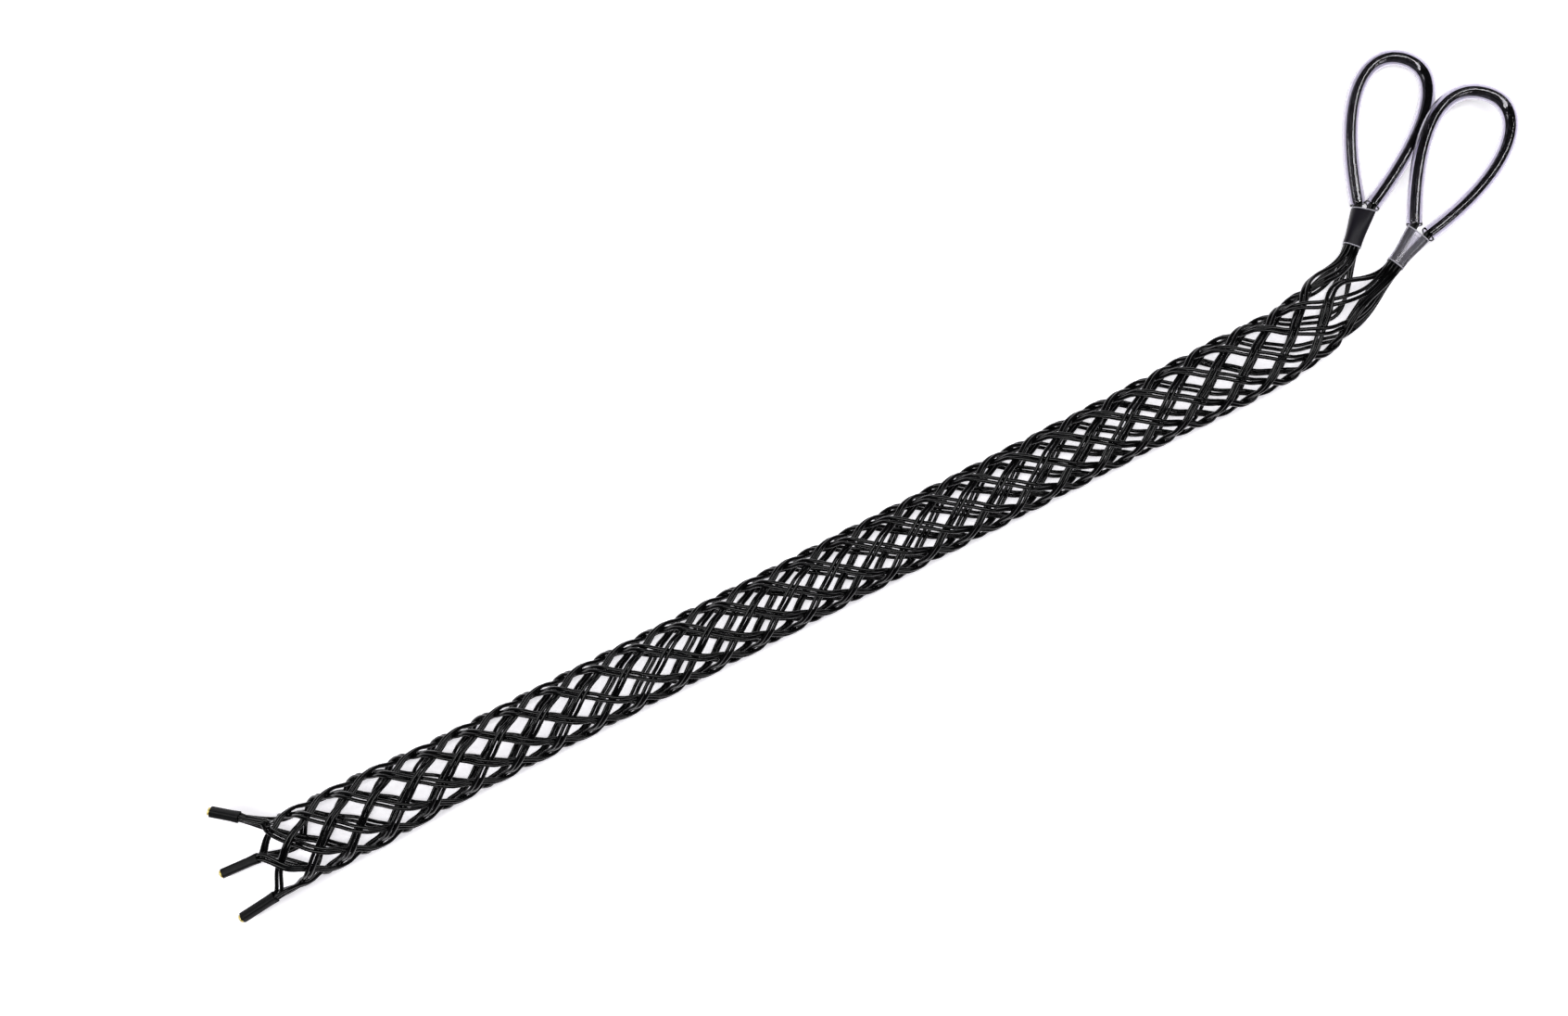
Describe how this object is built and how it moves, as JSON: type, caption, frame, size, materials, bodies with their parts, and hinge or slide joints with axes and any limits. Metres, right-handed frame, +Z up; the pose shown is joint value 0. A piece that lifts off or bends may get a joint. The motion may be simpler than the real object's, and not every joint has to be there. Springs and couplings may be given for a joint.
{
  "type": "cable pulling grip",
  "caption": "Long tube braided from black coated wire strands, open at one end with crimped tails and gathered at the other into two looped pulling eyes in clear tubing.",
  "frame": {"origin": "under the middle of the bounding box, on the surface that the grip lies on", "axes": "+Z up, +X along the mesh tube from its open mouth to the neck and eyes"},
  "size_m": [0.8676, 0.1514, 0.0484],
  "materials": {
    "strand": "glossy black plastic coating over twisted wire",
    "eye_tube": "clear flexible plastic tube, smooth",
    "clear_sleeve": "clear shrink sleeve, smooth",
    "smoked_sleeve": "dark see-through shrink sleeve",
    "tail_sleeve": "satin black shrink sleeve",
    "ferrule": "crimped brass, lightly dulled"
  },
  "bodies": {
    "root": {"strand_near_1_left": "strand", "strand_near_1_loop": "strand", "strand_near_1_right": "strand", "strand_near_2_left": "strand", "strand_near_2_loop": "strand", "strand_near_2_right": "strand", "strand_near_3_left": "strand", "strand_near_3_loop": "strand", "strand_near_3_right": "strand", "strand_near_4_left": "strand", "strand_near_4_loop": "strand", "strand_near_4_right": "strand", "strand_near_5_left": "strand", "strand_near_5_loop": "strand", "strand_near_5_right": "strand", "strand_near_6_left": "strand", "strand_near_6_loop": "strand", "strand_near_6_right": "strand", "strand_far_1_left": "strand", "strand_far_1_loop": "strand", "strand_far_1_right": "strand", "strand_far_2_left": "strand", "strand_far_2_loop": "strand", "strand_far_2_right": "strand", "strand_far_3_left": "strand", "strand_far_3_loop": "strand", "strand_far_3_right": "strand", "strand_far_4_left": "strand", "strand_far_4_loop": "strand", "strand_far_4_right": "strand", "strand_far_5_left": "strand", "strand_far_5_loop": "strand", "strand_far_5_right": "strand", "strand_far_6_left": "strand", "strand_far_6_loop": "strand", "strand_far_6_right": "strand", "eye_tube_near": "eye_tube", "eye_tube_far": "eye_tube", "neck_sleeve_near": "clear_sleeve", "neck_sleeve_far": "smoked_sleeve", "tail_top_ferrule": "ferrule", "tail_top_sleeve": "tail_sleeve", "tail_right_ferrule": "ferrule", "tail_right_sleeve": "tail_sleeve", "tail_low_right_ferrule": "ferrule", "tail_low_right_sleeve": "tail_sleeve", "tail_bottom_ferrule": "ferrule", "tail_bottom_sleeve": "tail_sleeve", "tail_low_left_ferrule": "ferrule", "tail_low_left_sleeve": "tail_sleeve", "tail_left_ferrule": "ferrule", "tail_left_sleeve": "tail_sleeve"}
  },
  "joints": []
}
